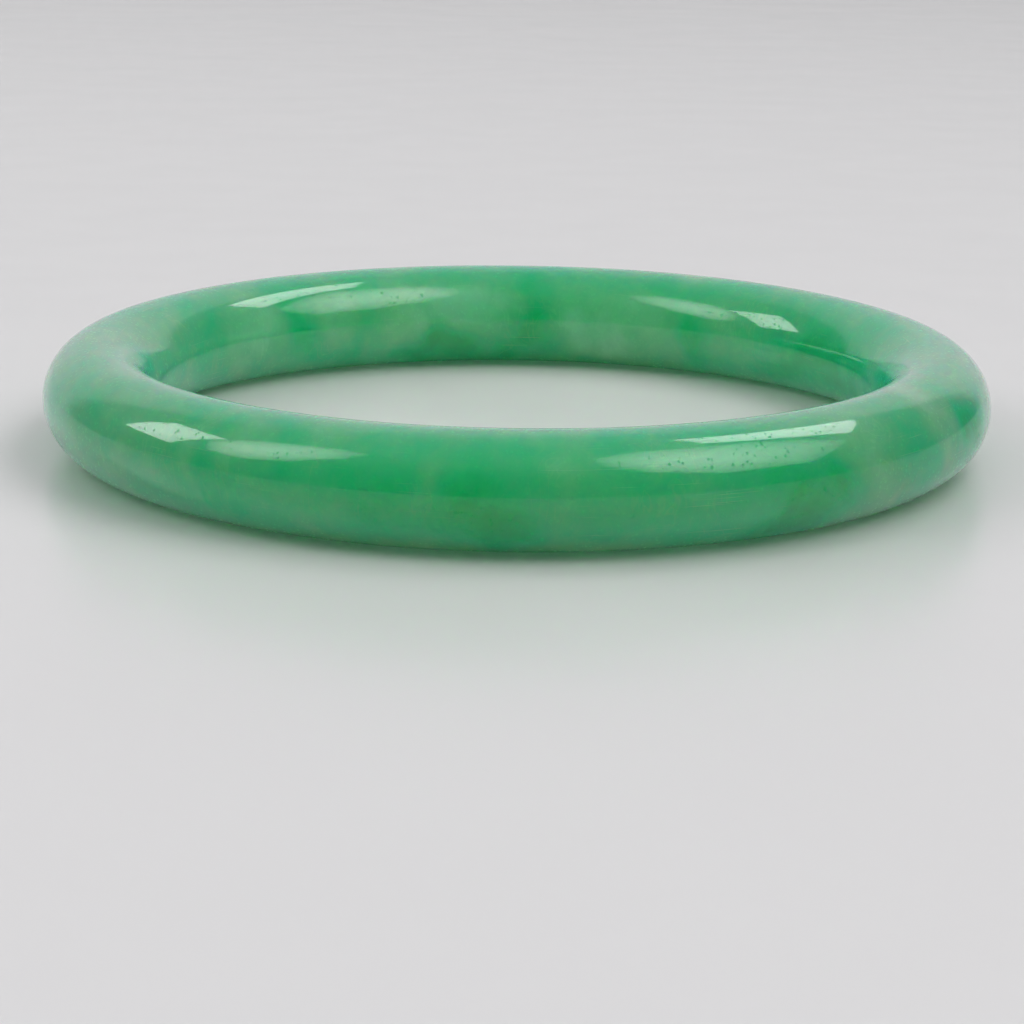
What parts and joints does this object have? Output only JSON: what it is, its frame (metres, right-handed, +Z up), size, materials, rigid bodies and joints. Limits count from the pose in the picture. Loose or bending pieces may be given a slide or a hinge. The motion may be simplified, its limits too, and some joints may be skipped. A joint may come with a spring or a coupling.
{
  "type": "bangle bracelet",
  "caption": "Seamless round-bar jade bangle: a rigid polished stone ring, worn on the wrist and put on over the hand.",
  "frame": {"origin": "centre of the ring, on the surface that it rests on", "axes": "+Z up along the ring's axis of symmetry; X and Y lie in the plane of the ring, and the ring looks the same all round"},
  "size_m": [0.074, 0.074, 0.0085],
  "materials": {
    "jade": "polished"
  },
  "bodies": {
    "root": {"bangle_ring": "jade"}
  },
  "joints": []
}
